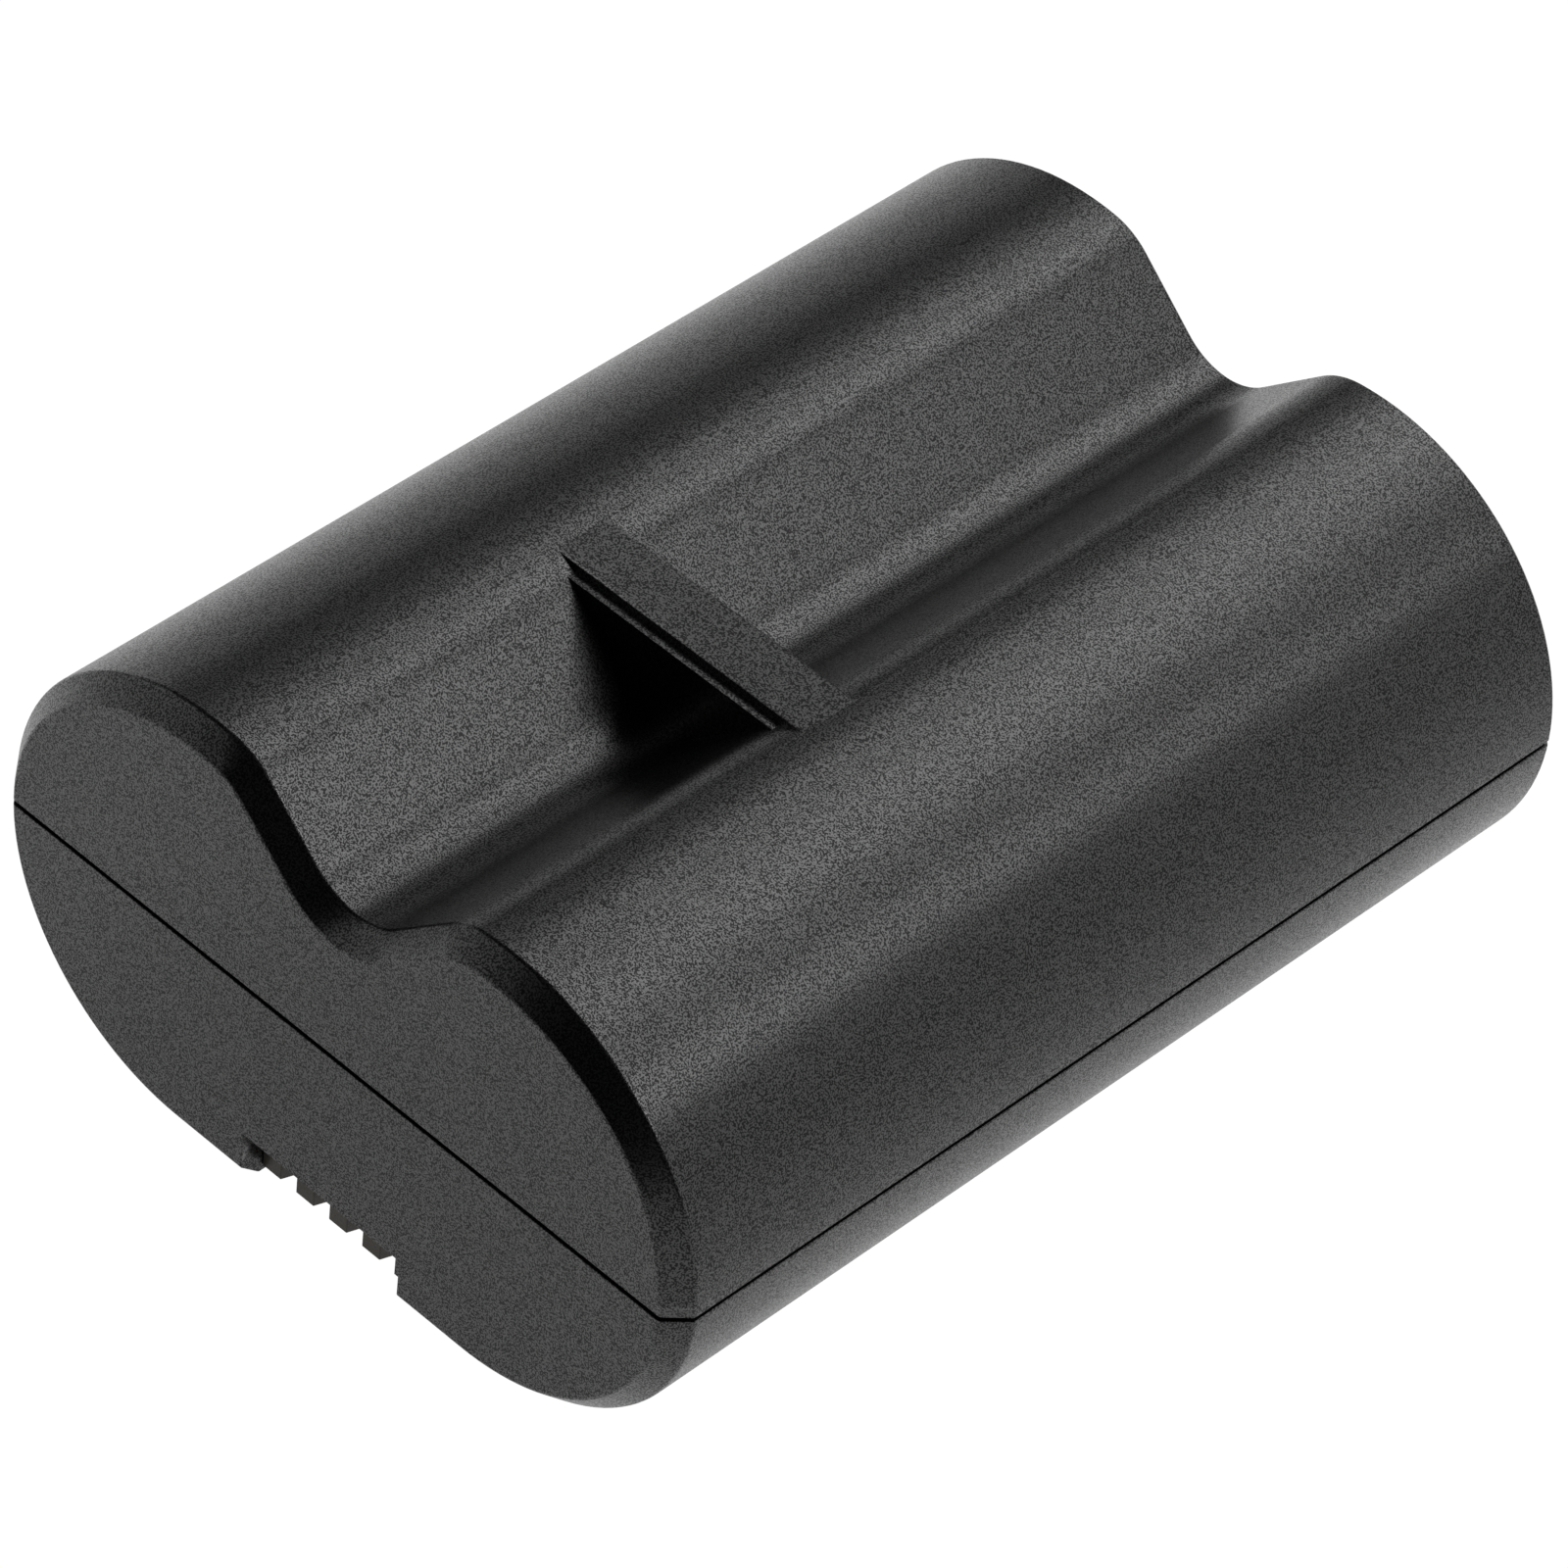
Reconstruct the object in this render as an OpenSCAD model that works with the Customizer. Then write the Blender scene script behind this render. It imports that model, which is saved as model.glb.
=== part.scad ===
// Clip-in battery for a camera flash: two round cells side by side in a two-piece moulded case.
// X is across the case, Y runs from the contact end (-Y) to the plain end, Z is up.
// The origin is the middle of the flat underside.

/* [Cells] */
// Diameter of one sealed cell
cell_d = 18.3; // [16:0.1:22]
// Length of one sealed cell, with its positive button
cell_l = 49.8; // [40:0.1:70]
// Gap between the two cells
cell_gap = 0.1; // [0.1:0.05:1]
// How far the positive button stands out of its crimped rim
button_h = 0.35; // [0.3:0.05:0.8]
// Clearance between a cell and the ribs that cradle it
cell_clear = 0.1; // [0.05:0.05:0.25]
// Rounding of the edges of a cell
cell_edge = 0.6; // [0.3:0.05:1]
// Depth of the neck crimped into a cell near its positive end
neck_in = 0.5; // [0.2:0.05:0.8]
// Distance of the neck from the crimped rim
neck_from_rim = 3.2; // [2.5:0.1:5]

/* [Case] */
// Wall of the case all round
wall = 1.4; // [1.2:0.1:2]
// Wall of the two end faces
end_wall = 1.4; // [1.2:0.1:2.2]
// Space between a cell and the round side wall, top and bottom
side_room = 1.75; // [1.3:0.05:2.5]
// Space between a cell and the sloping wall of the valley
flank_room = 0.29; // [0.25:0.01:0.8]
// Slope of the valley walls, in degrees
flank_angle = 41.5; // [36:0.5:48]
// Radius of the valley floor
valley_r = 3.5; // [2.5:0.1:4.5]
// Radius of the shoulder between a round side and the valley
shoulder_r = 4; // [3:0.1:5]
// Bevel round the contact end, along the case
bevel_l = 1.15; // [0.4:0.05:1.3]
// Bevel round the contact end, across the case
bevel_in = 1.05; // [0.4:0.05:1.2]
// Broken edge round the plain end
edge_break = 0.2; // [0.1:0.05:0.5]

/* [Parting line] */
// How far the middle of the parting line lies below the middle of the case
parting_drop = 0.2; // [-0.5:0.05:0.8]
// Open height of the groove along the parting line
parting_gap = 0.25; // [0.1:0.05:0.5]
// Height of the tongue of the lower shell above the parting line
tongue_h = 1.2; // [0.8:0.1:2]
// Clearance between the tongue and the lip in front of it
tongue_clear = 0.1; // [0.05:0.05:0.2]

/* [Cradle ribs] */
// Ribs along each shell
rib_count = 3; // [2:1:5]
// Thickness of a rib
rib_t = 1.2; // [0.8:0.1:2]

/* [Stop web] */
// Distance from the contact end to the top of the stop web
web_from_end = 20; // [15:0.5:28]
// Thickness of the stop web along the case
web_t = 3.2; // [2:0.1:5]
// How far the web's top lies under the top of the case
web_drop = 0.1; // [0.05:0.05:0.5]
// Depth of the ledge on the contact side of the web
ledge_l = 0.55; // [0.3:0.05:1.5]
// How far the ledge lies under the web's top
ledge_drop = 0.4; // [0.2:0.05:1.5]

/* [Contact notch] */
// Half width of the notch at the underside, on the stepped side
notch_half = 5.15; // [5.1:0.05:7]
// Step inwards of the notch's upper half, on one side only, as a key
notch_step = 0.23; // [0.1:0.01:0.25]
// Height of that step above the underside
notch_step_z = 2.2; // [1.6:0.1:2.6]
// Height of the notch above the underside
notch_h = 3.2; // [2.8:0.1:4]
// Length of the notch along the underside
notch_l = 5.5; // [4.5:0.1:8]

/* [Contacts] */
// Contacts in a row
contact_count = 4; // [2:1:4]
// Distance from one contact to the next
contact_pitch = 2.14; // [1.6:0.01:2.2]
// Thickness of the ribs between the contact slots
contact_rib = 1.15; // [0.8:0.05:1.2]
// How far the ribs lie behind the face of the contact end
contact_recess = 1.33; // [1:0.01:1.35]
// Height of the ribs' front edge above the underside
contact_lift = 0.35; // [0.2:0.05:0.6]
// Length of the slope from that edge down to the ribs' underside
contact_lead = 0.8; // [0.4:0.05:1.2]
// Height of the ribs' underside above the underside of the case
block_base = 0.05; // [0.02:0.01:0.15]
// Length of the contact slots
slot_l = 3.6; // [2.5:0.1:4]
// Height of the slot's roof above the underside
slot_roof = 2.65; // [2.2:0.05:2.7]
// How far the contacts lie inside the ribs' outline
contact_inset = 0.3; // [0.1:0.05:0.4]
// Thickness of the contact metal
contact_t = 0.2; // [0.1:0.05:0.25]
// Lip of the contact block over the floor of the case
block_lip = 1.4; // [0.8:0.1:1.5]
// Height of the contact block's flange above the underside
block_top = 3; // [2.9:0.1:3.2]
// Height of the contact block's head above the underside
block_head = 5.4; // [4.6:0.1:7]
// Height of the top of the solder tails above the underside
tail_top = 7; // [6:0.1:9]

/* [Board] */
// Thickness of the protection board
board_t = 0.8; // [0.6:0.1:1.2]
// Space in front of the board for its chips
board_room = 1.1; // [1:0.05:2]
// Height of the board's lower edge above the underside
board_z = 3.4; // [3.3:0.1:5]
// Clearance of the board and its paper inside the case
board_clear = 0.3; // [0.2:0.05:0.6]
// Distance of the board's upper edge below the valley's inner wall
board_drop = 0.5; // [0.3:0.1:1.5]
// Space between the insulating paper and the cells, for the metal tabs
tab_room = 0.75; // [0.5:0.05:1.5]
// Thickness of the insulating paper
paper_t = 0.2; // [0.1:0.05:0.4]
// Gap between the paper and the part it lies against
paper_gap = 0.05; // [0.05:0.05:0.2]
// Distance of the paper's upper edge below the board's
paper_drop = 2; // [1.8:0.1:3]

/* [Board parts] */
// Width, height and thickness of the protection chip
chip_size = [4.4, 3, 0.85];
// Width, height and thickness of one power switch
switch_size = [3.9, 4.9, 0.9];
// Width, height and thickness of the fuse
fuse_size = [3.2, 1.6, 0.6];
// Width, height and thickness of the current resistor
resistor_size = [3.2, 1.6, 0.55];
// Distance of the power switches from the middle
switch_x = 8.2; // [6:0.1:12]
// How far the middle of the power switches lies below the middle of the cells
switch_drop = 0.3; // [-0.5:0.1:1]
// How far the middle of the chip lies above the middle of the cells
chip_rise = 0.7; // [0:0.1:1.5]
// How far the middle of the fuse and the resistor lies below the middle of the cells
small_drop = 4.9; // [4:0.1:5.5]

/* [Metal strips and leads] */
// Thickness of the nickel strip
strip_t = 0.15; // [0.1:0.05:0.3]
// Height of the link across the cells at the plain end
link_h = 7; // [6.9:0.1:9]
// How far the link reaches past the middle of each cell
link_reach = 3; // [2:0.1:5]
// Width of the tabs at the contact end
tab_w = 4; // [3:0.1:6]
// How far a tab reaches below the middle of its cell
tab_reach = 2.5; // [2:0.1:4]
// Distance of a tab's top below the board's upper edge
tab_drop = 0.6; // [0.4:0.1:0.8]
// Length of the foot of a tab that is soldered to the board
tab_foot = 1; // [0.6:0.1:1.1]
// Gap behind the paper at the plain end
tail_clear = 0.15; // [0.05:0.05:0.5]
// Diameter of the midpoint lead
lead_d = 1.2; // [0.8:0.1:1.4]
// Diameter of the thermistor bead
bead_d = 2; // [1.4:0.1:2.2]
// Length of the thermistor bead
bead_l = 5; // [3:0.5:8]
// Distance of the bead from the cells' contact end
bead_from_end = 16; // [8:0.5:30]
// Diameter of each thermistor lead
thin_lead_d = 0.5; // [0.3:0.1:0.6]
// Clearance of leads between the cells
lead_clear = 0.05; // [0.02:0.01:0.2]

/* [Cell rings and pads] */
// Hole of the paper ring on a positive end
ring_hole = 9; // [8.6:0.1:12]
// Space between the button and the paper ring
ring_clear = 0.3; // [0.1:0.05:0.6]
// Distance of the paper ring's edge inside the cell's edge
ring_inset = 0.8; // [0.5:0.1:2]
// Width of a foam pad
pad_w = 6; // [3:0.5:8]
// Distance between a foam pad and the ribs next to it
pad_end_gap = 1.7; // [0.5:0.1:3]
// Clearance between a foam pad and its cell
pad_clear = 0.1; // [0.05:0.05:0.3]

/* [Hidden] */
$fn = 96;
arc_step = 3;
// Overlap of two solids that are joined, and the overshoot of a cut
eps = 0.01;
over = 1;

// Section of the case
cell_r = cell_d / 2;
cell_pitch = cell_d + cell_gap;
cell_x = cell_pitch / 2;
side_r = cell_r + side_room + wall;
case_w = cell_pitch + 2 * side_r;
case_h = 2 * side_r;
cell_z = side_r;
flank_dir = [cos(flank_angle), sin(flank_angle)];
flank_in = [sin(flank_angle), -cos(flank_angle)];
flank_dist = cell_r + flank_room + wall;
valley_top_x = valley_r * flank_in.x;
valley_top_z = cell_z + (flank_dist - (cell_x - valley_top_x) * flank_in.x) / -flank_in.y;
valley_c = [0, valley_top_z - valley_r * flank_in.y];
valley_z = valley_c.y - valley_r;

// The shoulder touches both the flank and the round side
side_c = [cell_x, cell_z];
shoulder_line = [valley_top_x, valley_top_z] + shoulder_r * flank_in - side_c;
shoulder_b = shoulder_line * flank_dir;
shoulder_k = shoulder_line * shoulder_line - pow(side_r - shoulder_r, 2);
shoulder_u = sqrt(pow(shoulder_b, 2) - shoulder_k) - shoulder_b;
shoulder_c = side_c + shoulder_line + shoulder_u * flank_dir;
shoulder_a = atan2(shoulder_c.y - side_c.y, shoulder_c.x - side_c.x);

// Places along the case, from the contact end
board_from_end = end_wall + board_room;
paper_from_end = board_from_end + board_t + paper_gap;
cells_from_end = paper_from_end + paper_t + tab_room;
case_l = cells_from_end + cell_l + strip_t + paper_t + tail_clear + end_wall;
y0 = -case_l / 2;
y1 = case_l / 2;
board_y = y0 + board_from_end;
paper_y = y0 + paper_from_end;
cells_y = y0 + cells_from_end;
cells_end = cells_y + cell_l;
link_end = cells_end + strip_t;

// Heights
parting_z = cell_z - parting_drop;
rim_low = parting_z - parting_gap / 2;
rim_high = parting_z + parting_gap / 2;
tongue_top = parting_z + tongue_h;
board_top = valley_z - wall - board_drop;
lead_r = lead_d / 2;
lead_z = cell_z - sqrt(pow(cell_r + lead_r + lead_clear, 2) - pow(cell_x, 2));
bead_r = bead_d / 2;
bead_z = cell_z + sqrt(pow(cell_r + bead_r + lead_clear, 2) - pow(cell_x, 2));

// Contact block
block_half = contact_count * contact_pitch / 2 + contact_rib / 2;
slot_w = contact_pitch - contact_rib;

// Round stretch of an outline, without its last point
function arc(c, r, a0, a1) =
    let (n = ceil(abs(a1 - a0) / arc_step))
    [for (i = [0:n - 1]) let (a = a0 + (a1 - a0) * i / n) c + r * [cos(a), sin(a)]];

// Right half of the section, inset by t, from the underside up to the middle of the valley
function half_section(t) = concat(
    arc(side_c, side_r - t, -90, 0),
    arc(side_c, side_r - t, 0, 90),
    arc(side_c, side_r - t, 90, shoulder_a),
    arc(shoulder_c, shoulder_r - t, shoulder_a, 90 + flank_angle),
    [shoulder_c - (shoulder_r - t) * flank_in],
    arc(valley_c, valley_r + t, flank_angle - 90, -90),
    [[0, valley_z - t]]);

// Whole section, inset by t
function section(t) =
    let (half = half_section(t), n = len(half))
    concat(half, [for (i = [n - 2:-1:0]) [-half[i].x, half[i].y]]);

// Sections joined by straight sides: each station is a place along Y and the inset there
module loft(stations) {
    rings = [for (s = stations) [for (p = section(s[1])) [p.x, s[0], p.y]]];
    n = len(rings[0]);
    last = (len(rings) - 1) * n;
    sides = [for (k = [0:len(rings) - 2], i = [0:n - 1])
        let (a = k * n + i, b = k * n + (i + 1) % n) each [[a, b, b + n], [a, b + n, a + n]]];
    ends = [[for (i = [n - 1:-1:0]) i], [for (i = [0:n - 1]) last + i]];
    polyhedron(points = [for (r = rings) each r], faces = concat(sides, ends));
}

// Outline in X and Z drawn out along Y
module along_y(ya, yb) {
    translate([0, yb, 0]) rotate([90, 0, 0]) linear_extrude(yb - ya) children();
}

// Outline in Y and Z drawn out along X, with its middle at x
module along_x(x, w) {
    translate([x - w / 2, 0, 0]) rotate([90, 0, 90]) linear_extrude(w) children();
}

// Block between two corners
module block(lo, hi) {
    translate(lo) cube(hi - lo);
}

// Outer form of the closed case, bevelled round the contact end
module case_solid() {
    loft([[y0, bevel_in], [y0 + bevel_l, 0], [y1 - edge_break, 0], [y1, edge_break]]);
}

// Room inside the closed case
module case_room() {
    along_y(y0 + end_wall, y1 - end_wall) polygon(section(wall));
}

// Upright block over the plan of the case, less d on every side
module plan_block(d, z0, z1) {
    block([d - case_w / 2, y0 + d, z0], [case_w / 2 - d, y1 - d, z1]);
}

// Both cells' outlines, widened by d
module cell_circles(d) {
    for (s = [-1, 1]) translate([s * cell_x, cell_z]) circle(cell_r + d);
}

// Cradle ribs at even steps along the cells
module cradle() {
    for (i = [0:rib_count - 1]) {
        y = cells_y + cell_l * (i + 0.5) / rib_count;
        along_y(y - rib_t / 2, y + rib_t / 2) difference() {
            intersection() {
                polygon(section(wall / 2));
                children();
            }
            cell_circles(cell_clear);
        }
    }
}

// Stop web across the valley, with the ledge on its contact side
module stop_web() {
    web_top = case_h - web_drop;
    for (step = [[0, web_t, 0], [-ledge_l, eps, ledge_drop]])
        along_y(y0 + web_from_end + step[0], y0 + web_from_end + step[1]) difference() {
            translate([-cell_x, cell_z]) square([cell_pitch, web_top - step[2] - cell_z]);
            polygon(section(wall / 2));
        }
}

// Upper half of the case, with the valley, the stop web and the lip of the lap joint
module upper_shell() color("#2c2c2e") {
    difference() {
        case_solid();
        case_room();
        plan_block(-over, -over, rim_high);
        plan_block(wall / 2, 0, tongue_top);
    }
    stop_web();
    cradle() for (s = [0, 1]) mirror([s, 0])
        translate([cell_x, tongue_top + tongue_clear]) square([side_r, side_r]);
}

// Opening of the contacts in the end wall and the floor
module notch() {
    half = notch_half - notch_step;
    along_y(y0 - over, y0 + notch_l) polygon([[-half, -over], [notch_half, -over],
        [notch_half, notch_step_z], [half, notch_step_z], [half, notch_h], [-half, notch_h]]);
}

// Lower half of the case, with the tongue of the lap joint and the contact notch
module lower_shell() color("#303032") {
    rib_top = rim_low - tongue_h;
    post_top = lead_z - lead_r - cell_clear;
    difference() {
        union() {
            difference() {
                case_solid();
                plan_block(-over, rim_low, case_h + over);
            }
            plan_block(wall / 2 + tongue_clear, rim_low - over, tongue_top);
        }
        difference() {
            case_room();
            plan_block(-over, rim_low, case_h + over);
        }
        plan_block(wall, rim_low - tongue_h, tongue_top + over);
        notch();
    }
    cradle() difference() {
        translate([-case_w / 2, 0]) square([case_w, rib_top]);
        translate([-cell_x / 2, post_top]) square([cell_x, case_h]);
    }
}

// Moulded insulator that holds the contacts
module contact_block() color("#1c1c1e") difference() {
    front = y0 + contact_recess;
    inner = y0 + end_wall + paper_gap;
    union() {
        along_x(0, 2 * block_half) polygon([[front + contact_lead, block_base],
            [y0 + notch_l - paper_gap, block_base], [y0 + notch_l - paper_gap, block_top],
            [inner, block_top], [inner, slot_roof], [front, slot_roof],
            [front, contact_lift]]);
        block([-block_half - block_lip, inner, wall],
            [block_half + block_lip, y0 + notch_l + block_lip, block_top]);
        block([-block_half, inner, block_top - eps],
            [block_half, board_y - contact_t - paper_gap, block_head]);
    }
    for (i = [0:contact_count - 1]) translate([contact_x(i), 0, 0]) {
        block([-slot_w / 2, front - over, 0],
            [slot_w / 2, y0 + contact_recess + slot_l, slot_roof]);
        block([-slot_w / 2, board_y - contact_t - paper_gap, slot_roof - eps],
            [slot_w / 2, board_y + paper_gap, block_top + over]);
    }
}

// Middle of contact i, counted from the left
function contact_x(i) = (i - (contact_count - 1) / 2) * contact_pitch;

// Plated contact: a channel in its slot, with a tail up to the board
module contact(i) color("#d9a441") translate([contact_x(i), 0, 0]) {
    half = slot_w / 2 - paper_gap;
    front = y0 + contact_recess + 2 * contact_inset;
    back = y0 + contact_recess + slot_l - paper_gap;
    roof = slot_roof - paper_gap;
    difference() {
        block([-half, front, contact_lift + contact_inset], [half, back, roof]);
        block([contact_t - half, front - over, 0], [half - contact_t, back - contact_t,
            roof - contact_t]);
    }
    block([-half, board_y - contact_t, roof - contact_t], [half, board_y, tail_top]);
}

// Outline of the board and its paper, between two heights
module board_outline(z0, z1) {
    intersection() {
        polygon(section(wall + board_clear));
        translate([-case_w / 2, z0]) square([case_w, z1 - z0]);
    }
}

// Protection board, upright behind the contact end
module protection_board() color("#1f5c3a")
    along_y(board_y, board_y + board_t) board_outline(board_z, board_top);

// Flat part soldered on the front of the board
module board_part(x, z, size) {
    block([x - size.x / 2, board_y - size.z, z - size.y / 2], [x + size.x / 2, board_y,
        z + size.y / 2]);
}

// Protection chip in the middle of the board
module protection_chip() color("#202022") board_part(0, cell_z + chip_rise, chip_size);

// Power switch, one each side of the chip
module power_switch(side) color("#202022") board_part(side * switch_x, cell_z - switch_drop, switch_size);

// Fuse on the positive side
module board_fuse() color("#d8d4c4") board_part(switch_x, cell_z - small_drop, fuse_size);

// Current resistor on the negative side
module current_resistor() color("#3a3a40") board_part(-switch_x, cell_z - small_drop, resistor_size);

// Paper between the board and the cells, with a hole for the midpoint lead
module board_insulator() color("#c9b48a")
    along_y(paper_y, paper_y + paper_t) difference() {
        board_outline(board_z, board_top - paper_drop);
        translate([0, lead_z]) circle(lead_r + lead_clear);
    }

// Sealed cell standing on its negative end, with the crimped neck under the button
module cell() {
    rim = cell_l - button_h;
    neck_z = rim - neck_from_rim;
    button_r = ring_hole / 2 - ring_clear;
    rotate_extrude() polygon(concat([[0, 0]],
        arc([cell_r - cell_edge, cell_edge], cell_edge, -90, 0),
        [[cell_r, cell_edge], [cell_r, neck_z - 2 * neck_in], [cell_r - neck_in, neck_z - neck_in],
         [cell_r - neck_in, neck_z + neck_in], [cell_r, neck_z + 2 * neck_in]],
        arc([cell_r - cell_edge, rim - cell_edge], cell_edge, 0, 90),
        [[cell_r - cell_edge, rim], [button_r, rim], [button_r, cell_l], [0, cell_l]]));
}

// Left cell, with its positive end at the plain end of the case
module cell_left() color("#3f6fa8")
    translate([-cell_x, cells_y, cell_z]) rotate([-90, 0, 0]) cell();

// Right cell, with its positive end at the contacts
module cell_right() color("#3f6fa8")
    translate([cell_x, cells_end, cell_z]) rotate([90, 0, 0]) cell();

// Paper ring that lies on the rim round a positive button
module cell_ring(x, ya) color("#e6e2d6")
    along_y(ya, ya + paper_t) translate([x, cell_z]) difference() {
        circle(cell_r - ring_inset);
        circle(ring_hole / 2);
    }

// Ring of the left cell
module cell_ring_left() cell_ring(-cell_x, cells_end - button_h);

// Ring of the right cell
module cell_ring_right() cell_ring(cell_x, cells_y + button_h - paper_t);

// Nickel strip that joins the cells at the plain end
module nickel_link() color("#b9b9b4")
    block([-cell_x - link_reach, cells_end, cell_z - link_h / 2],
        [cell_x + link_reach, link_end, cell_z + link_h / 2]);

// Nickel tab, bent from the end of a cell over to the board
module tab(side) color("#b9b9b4") {
    top = board_top - tab_drop;
    back = board_y + board_t;
    along_x(side * cell_x, tab_w) polygon([[cells_y, cell_z - tab_reach], [cells_y, top],
        [back, top], [back, top - tab_foot], [back + strip_t, top - tab_foot],
        [back + strip_t, top - strip_t],
        [cells_y - strip_t, top - strip_t], [cells_y - strip_t, cell_z - tab_reach]]);
}

// Insulated lead from the link along the gap between the cells to the board
module midpoint_lead() color("#d8b020")
    along_y(board_y + board_t, cells_end) translate([0, lead_z]) circle(lead_r);

// Temperature sensor in the upper gap between the cells, with its two leads
module thermistor() color("#2a2a2c") {
    ya = cells_y + bead_from_end;
    along_y(ya, ya + bead_l) translate([0, bead_z]) circle(bead_r);
    for (s = [-1, 1]) along_y(board_y + board_t, ya + eps)
        translate([s * thin_lead_d, bead_z]) circle(thin_lead_d / 2, $fn = 24);
}

// Paper over the link at the plain end
module end_insulator() color("#c9b48a")
    along_y(link_end, link_end + paper_t) board_outline(board_z, board_top);

// Foam pads under a cell, one in each space between two ribs
module foam_pads(side) color("#5c5c60") {
    step = cell_l / rib_count;
    pad_l = step - rib_t - 2 * pad_end_gap;
    for (i = [1:rib_count - 1]) translate([side * cell_x, cells_y + i * step, 0])
        block([-pad_w / 2, -pad_l / 2, wall], [pad_w / 2, pad_l / 2, cell_z - cell_r - pad_clear]);
}

upper_shell();
lower_shell();
contact_block();
contact(0);  // contact_negative
contact(1);  // contact_sense
contact(2);  // contact_data
contact(3);  // contact_positive
protection_board();
protection_chip();
power_switch(-1);  // power_switch_left
power_switch(1);  // power_switch_right
board_fuse();
current_resistor();
board_insulator();
cell_left();
cell_right();
cell_ring_left();
cell_ring_right();
nickel_link();
tab(-1);  // tab_negative
tab(1);  // tab_positive
midpoint_lead();
thermistor();
end_insulator();
foam_pads(-1);  // foam_pads_left
foam_pads(1);  // foam_pads_right
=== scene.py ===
from math import cos, pi, radians, sin

import bmesh
import bpy
from mathutils import Matrix, Vector
from mathutils.bvhtree import BVHTree


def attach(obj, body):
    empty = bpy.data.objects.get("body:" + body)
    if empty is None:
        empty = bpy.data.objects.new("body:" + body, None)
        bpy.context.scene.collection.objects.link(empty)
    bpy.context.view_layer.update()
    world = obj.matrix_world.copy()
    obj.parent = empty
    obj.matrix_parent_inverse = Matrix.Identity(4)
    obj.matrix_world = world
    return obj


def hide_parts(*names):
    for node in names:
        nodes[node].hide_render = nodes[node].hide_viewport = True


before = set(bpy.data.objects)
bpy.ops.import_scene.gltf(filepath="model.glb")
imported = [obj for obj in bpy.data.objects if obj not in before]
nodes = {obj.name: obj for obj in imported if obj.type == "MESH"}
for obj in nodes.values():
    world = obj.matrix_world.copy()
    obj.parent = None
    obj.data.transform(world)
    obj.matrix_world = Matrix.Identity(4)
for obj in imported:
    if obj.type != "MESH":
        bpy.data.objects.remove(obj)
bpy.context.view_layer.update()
MM = 0.001

# Camera. A long lens looks down on the contact end from the front right, so that the
# pack lies across the picture with its contact notch nearest.
camera_place = Vector((0.18116, -0.21174, 0.27499))
camera_turn = radians(40.54)
camera_drop = radians(43.46)
camera_roll = radians(6.475)
camera_lens = 195.865

camera_data = bpy.data.cameras.new("camera")
camera_data.lens = camera_lens
camera_data.sensor_width = 36.0
camera_data.clip_start = 0.01
camera = bpy.data.objects.new("camera", camera_data)
camera.matrix_world = (Matrix.Translation(camera_place)
                       @ Matrix.Rotation(camera_turn, 4, "Z")
                       @ Matrix.Rotation(pi / 2 - camera_drop, 4, "X")
                       @ Matrix.Rotation(camera_roll, 4, "Z"))
bpy.context.scene.collection.objects.link(camera)
bpy.context.scene.camera = camera
bpy.context.scene.view_settings.view_transform = "Standard"

# Table. A seamless white sheet under the pack: it is white where the camera looks at
# it, and keeps the soft shadow of the pack.
table_half = 1.5
table_drop = 0.02 * MM
table_seen_white = 0.97
table_mirrored_white = 0.49

table_mesh = bpy.data.meshes.new("table")
table_mesh.from_pydata([(x * table_half, y * table_half, -table_drop)
                        for x, y in ((-1, -1), (1, -1), (1, 1), (-1, 1))], [], [(0, 1, 2, 3)])
table = bpy.data.objects.new("table", table_mesh)
bpy.context.scene.collection.objects.link(table)

table_white = bpy.data.materials.new("table_white")
table_white.use_nodes = True
tree = table_white.node_tree
tree.nodes.clear()
sheet = tree.nodes.new("ShaderNodeBsdfDiffuse")
sheet.inputs["Color"].default_value = (0.8, 0.8, 0.8, 1)
lit = tree.nodes.new("ShaderNodeEmission")
path = tree.nodes.new("ShaderNodeLightPath")
seen = tree.nodes.new("ShaderNodeMixShader")
out = tree.nodes.new("ShaderNodeOutputMaterial")
lit.inputs["Strength"].default_value = 1.05
mirrored = tree.nodes.new("ShaderNodeMath")
mirrored.operation = "MAXIMUM"
mirrored_share = tree.nodes.new("ShaderNodeMath")
mirrored_share.operation = "MULTIPLY"
mirrored_share.inputs[1].default_value = table_mirrored_white
share = tree.nodes.new("ShaderNodeMath")
share.operation = "MULTIPLY_ADD"
share.inputs[1].default_value = table_seen_white
tree.links.new(path.outputs["Is Glossy Ray"], mirrored.inputs[0])
tree.links.new(path.outputs["Is Transmission Ray"], mirrored.inputs[1])
tree.links.new(mirrored.outputs["Value"], mirrored_share.inputs[0])
tree.links.new(path.outputs["Is Camera Ray"], share.inputs[0])
tree.links.new(mirrored_share.outputs["Value"], share.inputs[2])
tree.links.new(share.outputs["Value"], seen.inputs["Fac"])
tree.links.new(sheet.outputs["BSDF"], seen.inputs[1])
tree.links.new(lit.outputs["Emission"], seen.inputs[2])
tree.links.new(seen.outputs["Shader"], out.inputs["Surface"])
table_mesh.materials.append(table_white)

# Studio light. Soft boxes stand behind the pack and at its sides, with a dim card at the
# front left. Nothing stands at the front right, so the bevel that faces it stays dark.
world = bpy.data.worlds.new("studio")
world.use_nodes = True
world.node_tree.nodes["Background"].inputs["Color"].default_value = (1, 1, 1, 1)
world.node_tree.nodes["Background"].inputs["Strength"].default_value = 0.02
bpy.context.scene.world = world

light_aim = Vector((0, 0, 12 * MM))


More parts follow.
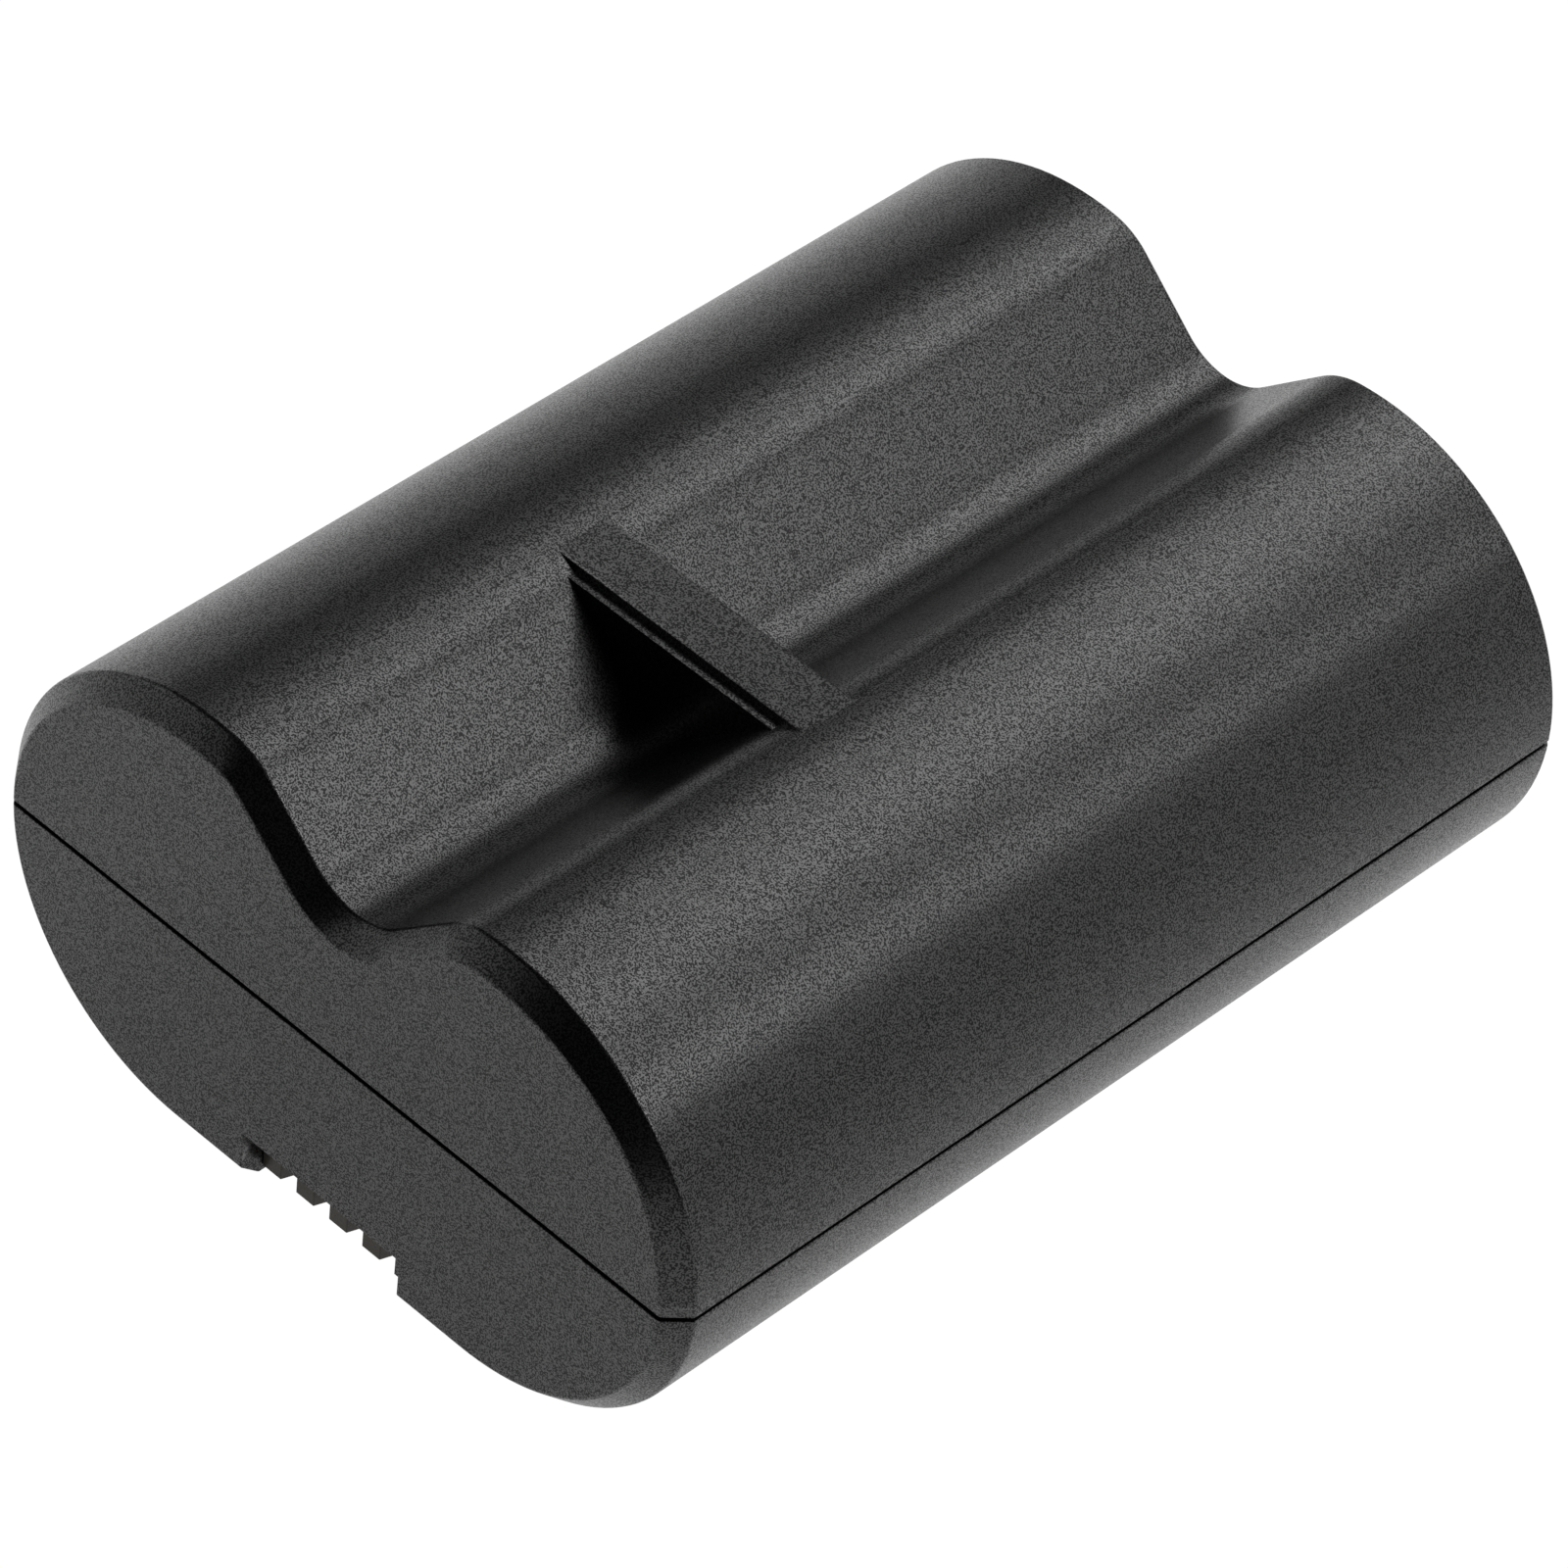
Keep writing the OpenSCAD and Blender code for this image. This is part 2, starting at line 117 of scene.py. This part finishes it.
def soft_box(name, turn, height, distance, width, tall, brightness):
    """A square lamp that faces the pack; brightness 1 looks white from the pack."""
    lamp = bpy.data.lights.new(name, "AREA")
    lamp.shape = "RECTANGLE"
    lamp.size = width
    lamp.size_y = tall
    lamp.energy = brightness * pi * width * tall
    holder = bpy.data.objects.new(name, lamp)
    a = radians(turn)
    e = radians(height)
    way = Vector((sin(a) * cos(e), -cos(a) * cos(e), sin(e)))
    holder.location = light_aim + way * distance
    holder.rotation_euler = way.to_track_quat("Z", "Y").to_euler()
    bpy.context.scene.collection.objects.link(holder)


soft_box("box_back_left", -159, 51, 0.8, 0.38, 0.28, 1.9)
soft_box("box_back_high", 178, 57.5, 0.8, 0.30, 0.29, 1.4)
soft_box("box_back_right", 150, 57.5, 0.8, 0.40, 0.29, 1.95)
soft_box("box_back_mid", -165, 32, 0.8, 0.35, 0.35, 1.9)
soft_box("box_right_back", 150, 34, 0.8, 0.35, 0.35, 0.95)
soft_box("box_right_mid", 125, 38.5, 0.8, 0.26, 0.24, 2.8)
soft_box("box_right_near", 105, 38.5, 0.8, 0.26, 0.24, 5.2)
soft_box("box_left_high", -132, 48, 0.8, 0.28, 0.45, 0.42)
soft_box("box_right_low", 120, 12, 0.8, 0.81, 0.30, 0.75)
soft_box("box_left_low", -120, 12, 0.8, 0.81, 0.30, 0.52)
soft_box("card_front_left", -55, 20, 0.8, 0.95, 0.56, 0.6)

# Upper shell. The top half of the case, injection moulded in black plastic with a fine
# matt grain, and welded to the lower half along the parting line.
edge_round = 0.12 * MM
fine_round = 0.05 * MM
sharp_angle = radians(22)
flat_angle = radians(0.3)
weld_reach = 0.002 * MM
ray_start = 0.02 * MM
upper_parting = 12.225 * MM
back_zone = 27 * MM

outer_trees = []
for half in ("upper_shell", "lower_shell"):
    loose = bmesh.new()
    loose.from_mesh(nodes[half].data)
    outer_trees.append(BVHTree.FromBMesh(loose))
    loose.free()


def seen_from_outside(point, way):
    """True where nothing of the case lies in front of the point."""
    start = point + way * ray_start
    return all(half.ray_cast(start, way)[0] is None for half in outer_trees)


def stubs(shape):
    """Ends of the short upright edges at the parting line, which leave a bevel no room."""
    pairs = {}
    for edge in shape.edges:
        low, high = sorted(edge.verts, key=lambda corner: corner.co.z)
        if edge.calc_length() < 2 * fine_round and abs(low.co.z - upper_parting) < weld_reach:
            pairs[high] = low
    return pairs


def rounded_copy(name, round_of):
    """The node's form as one smooth mesh, with its outer edges rounded by a bevel."""
    shape = bmesh.new()
    shape.from_mesh(nodes[name].data)
    bmesh.ops.remove_doubles(shape, verts=shape.verts, dist=weld_reach)
    bmesh.ops.dissolve_limit(shape, angle_limit=flat_angle, verts=shape.verts,
                             edges=shape.edges)
    bmesh.ops.weld_verts(shape, targetmap=stubs(shape))
    bmesh.ops.recalc_face_normals(shape, faces=shape.faces)
    weight = shape.edges.layers.float.new("bevel_weight_edge")
    for face in shape.faces:
        face.smooth = True
    for edge in shape.edges:
        if edge.calc_face_angle(0) < sharp_angle:
            continue
        edge.smooth = False
        if not edge.is_convex:
            continue
        middle = (edge.verts[0].co + edge.verts[1].co) / 2
        way = (edge.link_faces[0].normal + edge.link_faces[1].normal).normalized()
        radius = round_of(middle) if seen_from_outside(middle, way) else 0
        edge[weight] = radius / edge_round
        edge.smooth = radius > 0
    mesh = bpy.data.meshes.new(name + "_skin")
    shape.to_mesh(mesh)
    shape.free()
    piece = bpy.data.objects.new(name + "_skin", mesh)
    bpy.context.scene.collection.objects.link(piece)
    bevel = piece.modifiers.new("rounded_edges", "BEVEL")
    bevel.width = edge_round
    bevel.segments = 3
    bevel.limit_method = "WEIGHT"
    bevel.use_clamp_overlap = False
    flats = piece.modifiers.new("flat_faces", "WEIGHTED_NORMAL")
    flats.weight = 100
    flats.keep_sharp = True
    return piece


def socket(group, name, kind, way, value=None):
    """One named input or output on a shader node group."""
    made = group.interface.new_socket(name=name, in_out=way, socket_type=kind)
    if value is not None:
        made.default_value = value


grain_offset = (0.0131, 0.0173, 0.0197)

surface_grain = bpy.data.node_groups.new("surface_grain", "ShaderNodeTree")
socket(surface_grain, "Grain mm", "NodeSocketFloat", "INPUT", 0.15)
socket(surface_grain, "Patch mm", "NodeSocketFloat", "INPUT", 3.0)
socket(surface_grain, "Stretch", "NodeSocketVector", "INPUT", (1, 1, 1))
socket(surface_grain, "Height", "NodeSocketFloat", "OUTPUT")
socket(surface_grain, "Grain", "NodeSocketFloat", "OUTPUT")
socket(surface_grain, "Patch", "NodeSocketFloat", "OUTPUT")
tree = surface_grain
enter = tree.nodes.new("NodeGroupInput")
leave = tree.nodes.new("NodeGroupOutput")
place = tree.nodes.new("ShaderNodeTexCoord")
metres = tree.nodes.new("ShaderNodeVectorMath")
metres.operation = "MULTIPLY_ADD"
metres.inputs[2].default_value = grain_offset
tree.links.new(place.outputs["Object"], metres.inputs[0])
tree.links.new(enter.outputs["Stretch"], metres.inputs[1])
for size, target in (("Grain mm", "Grain"), ("Patch mm", "Patch")):
    scale = tree.nodes.new("ShaderNodeMath")
    scale.operation = "DIVIDE"
    scale.inputs[0].default_value = 1 / MM
    tree.links.new(enter.outputs[size], scale.inputs[1])
    noise = tree.nodes.new("ShaderNodeTexNoise")
    noise.inputs["Detail"].default_value = 0.0 if target == "Grain" else 2.0
    tree.links.new(metres.outputs["Vector"], noise.inputs["Vector"])
    tree.links.new(scale.outputs["Value"], noise.inputs["Scale"])
    tree.links.new(noise.outputs["Fac"], leave.inputs[target])
    if target == "Grain":
        tree.links.new(noise.outputs["Fac"], leave.inputs["Height"])


def finish(name, dark, light, rough, grain=0.15, patch=3.0, depth=0.004, stretch=(1, 1, 1),
           metallic=0.0, ior=1.5, mix_by="Patch"):
    """A material with the shared grain: two tones, a range of roughness and a bump."""
    made = bpy.data.materials.new(name)
    made.use_nodes = True
    tree = made.node_tree
    shader = tree.nodes["Principled BSDF"]
    shader.inputs["Metallic"].default_value = metallic
    shader.inputs["IOR"].default_value = ior
    texture = tree.nodes.new("ShaderNodeGroup")
    texture.node_tree = surface_grain
    texture.inputs["Grain mm"].default_value = grain
    texture.inputs["Patch mm"].default_value = patch
    texture.inputs["Stretch"].default_value = stretch
    tone = tree.nodes.new("ShaderNodeMix")
    tone.data_type = "RGBA"
    tone.inputs["A"].default_value = (*dark, 1)
    tone.inputs["B"].default_value = (*light, 1)
    tree.links.new(texture.outputs[mix_by], tone.inputs["Factor"])
    tree.links.new(tone.outputs["Result"], shader.inputs["Base Color"])
    gloss = tree.nodes.new("ShaderNodeMapRange")
    gloss.inputs["From Min"].default_value = 0.3
    gloss.inputs["From Max"].default_value = 0.7
    gloss.inputs["To Min"].default_value = rough[0]
    gloss.inputs["To Max"].default_value = rough[1]
    tree.links.new(texture.outputs["Patch"], gloss.inputs["Value"])
    tree.links.new(gloss.outputs["Result"], shader.inputs["Roughness"])
    bump = tree.nodes.new("ShaderNodeBump")
    bump.inputs["Distance"].default_value = depth * MM
    tree.links.new(texture.outputs["Height"], bump.inputs["Height"])
    tree.links.new(bump.outputs["Normal"], shader.inputs["Normal"])
    return made


case_plastic = finish("case_plastic_moulded", (0.0004, 0.0004, 0.0005), (0.0036, 0.0036, 0.0037),
                      (0.276, 0.29), grain=0.08, patch=4.0, depth=0.016, ior=1.3,
                      mix_by="Grain")
tree = case_plastic.node_tree
shader = tree.nodes["Principled BSDF"]
shader.inputs["Coat IOR"].default_value = 1.65
shader.inputs["Coat Roughness"].default_value = 0.278
peaks = tree.nodes.new("ShaderNodeMapRange")
peaks.inputs["From Min"].default_value = 0.43
peaks.inputs["From Max"].default_value = 0.57
peaks.inputs["To Min"].default_value = 0.0
peaks.inputs["To Max"].default_value = 1.0
tree.links.new(tree.nodes["Group"].outputs["Grain"], peaks.inputs["Value"])
tree.links.new(peaks.outputs["Result"], shader.inputs["Coat Weight"])


def upper_round(point):
    """Radius of the upper shell's edge at a point."""
    parting = abs(point.z - upper_parting) < fine_round
    back = point.y > back_zone
    return fine_round if parting or back else edge_round


upper = rounded_copy("upper_shell", upper_round)
upper.data.materials.append(case_plastic)
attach(upper, "root")
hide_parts("upper_shell")

# Lower shell. The bottom half of the case, moulded in the same black plastic, with the
# tongue of the lap joint along its rim and the contact notch in its front edge.
lower_parting = 11.975 * MM
notch_side = 5.3 * MM
notch_top = 3.4 * MM


def lower_round(point):
    """Radius of the lower shell's edge at a point."""
    parting = abs(point.z - lower_parting) < fine_round
    back = point.y > back_zone
    notch = abs(point.x) < notch_side and point.z < notch_top
    return fine_round if parting or back or notch else edge_round


lower = rounded_copy("lower_shell", lower_round)
lower.data.materials.append(case_plastic)
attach(lower, "root")
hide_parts("lower_shell")

# Contact block. One black moulded insulator in the notch, with five ribs that keep the
# contacts apart. Its warm brown tone is a painted reflection of the gold contacts on the black
# plastic.
# Painted reflection: these brown tones paint gold glints onto plastic that is really black.
block_plastic_painted_gold_glint = finish("contact_plastic_painted_gold_glint", (0.022, 0.014, 0.007), (0.10, 0.075, 0.04),
                       (0.35, 0.42), grain=0.13, patch=1.5, depth=0.006, mix_by="Grain")
block = rounded_copy("contact_block", lambda point: fine_round)
block.data.materials.append(block_plastic_painted_gold_glint)
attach(block, "root")
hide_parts("contact_block")


def dress(material, *names):
    """Gives CAD nodes their finish."""
    for name in names:
        for place in nodes[name].material_slots:
            place.material = material


# Contacts. Four bent strips of gold-plated copper alloy, stamped from sheet. Each sits
# in its slot of the block and is soldered to the board behind it.
gold = finish("gold_plate_rubbed", (0.62, 0.40, 0.12), (0.86, 0.62, 0.25), (0.22, 0.34),
              grain=0.05, patch=0.6, depth=0.001, stretch=(1, 0.15, 1), metallic=1.0)
dress(gold, "contact_negative", "contact_sense", "contact_data", "contact_positive")

# Protection board. Glass laminate under green solder mask, with its parts soldered on
# the side that faces the block.
board = finish("board_mask", (0.008, 0.07, 0.03), (0.02, 0.13, 0.06), (0.28, 0.4),
               grain=0.3, patch=1.2, depth=0.01)
dress(board, "protection_board")
chip = finish("chip_epoxy", (0.012, 0.012, 0.013), (0.024, 0.024, 0.026), (0.45, 0.6),
              grain=0.06, patch=0.8, depth=0.003)
dress(chip, "protection_chip", "power_switch_left", "power_switch_right", "current_resistor")
ceramic = finish("fuse_ceramic_fired", (0.6, 0.56, 0.45), (0.72, 0.69, 0.58), (0.45, 0.6),
                 grain=0.05, patch=0.5, depth=0.002)
dress(ceramic, "board_fuse")

# Insulators. Pressed paper, cut to shape: one sheet between the board and the cells, one
# over the link, and a white ring round the positive button of each cell.
paper = finish("paper_pressed", (0.5, 0.38, 0.2), (0.64, 0.5, 0.29), (0.75, 0.9),
               grain=0.12, patch=1.2, depth=0.01, stretch=(0.35, 1, 1), mix_by="Grain")
dress(paper, "board_insulator", "end_insulator")
ring_paper = finish("ring_paper_white", (0.68, 0.65, 0.58), (0.82, 0.79, 0.73), (0.7, 0.85),
                    grain=0.1, patch=1.0, depth=0.008, mix_by="Grain")
dress(ring_paper, "cell_ring_left", "cell_ring_right")

# Cells. Two sealed steel cans in shrunk blue sleeves. They lie side by side in the
# cradle ribs of the case, one turned end for end.
sleeve = finish("cell_sleeve_shrunk", (0.035, 0.12, 0.34), (0.06, 0.18, 0.46), (0.28, 0.38),
                grain=0.6, patch=5.0, depth=0.01, stretch=(1, 0.3, 1))
dress(sleeve, "cell_left", "cell_right")

# Nickel strips. Cut from rolled strip: the link is welded across the cells at the plain
# end, and a tab runs from each cell to the board.
nickel = finish("nickel_rolled", (0.52, 0.51, 0.48), (0.66, 0.65, 0.62), (0.25, 0.4),
                grain=0.06, patch=1.5, depth=0.001, stretch=(0.1, 1, 1), metallic=1.0)
dress(nickel, "nickel_link", "tab_negative", "tab_positive")

# Midpoint lead. Soft yellow insulation over fine stranded copper. It runs between the
# cells from the link to the board.
lead = finish("lead_sleeve_soft", (0.55, 0.34, 0.02), (0.72, 0.47, 0.04), (0.5, 0.62),
              grain=0.2, patch=1.5, depth=0.004)
dress(lead, "midpoint_lead")

# Thermistor. A bead dipped in black epoxy, with two thin leads. It lies against the
# cells, and its leads end at the board.
epoxy = finish("sensor_epoxy_dipped", (0.014, 0.014, 0.014), (0.026, 0.026, 0.026), (0.2, 0.32),
               grain=0.4, patch=1.0, depth=0.012)
dress(epoxy, "thermistor")

# Foam pads. Two short blocks of closed-cell foam under each cell, between the cradle
# ribs. They keep the cells from rattling.
foam = finish("foam_closed_cell", (0.07, 0.07, 0.08), (0.13, 0.13, 0.14), (0.85, 0.95),
              grain=0.25, patch=1.5, depth=0.06, mix_by="Grain")
dress(foam, "foam_pads_left", "foam_pads_right")
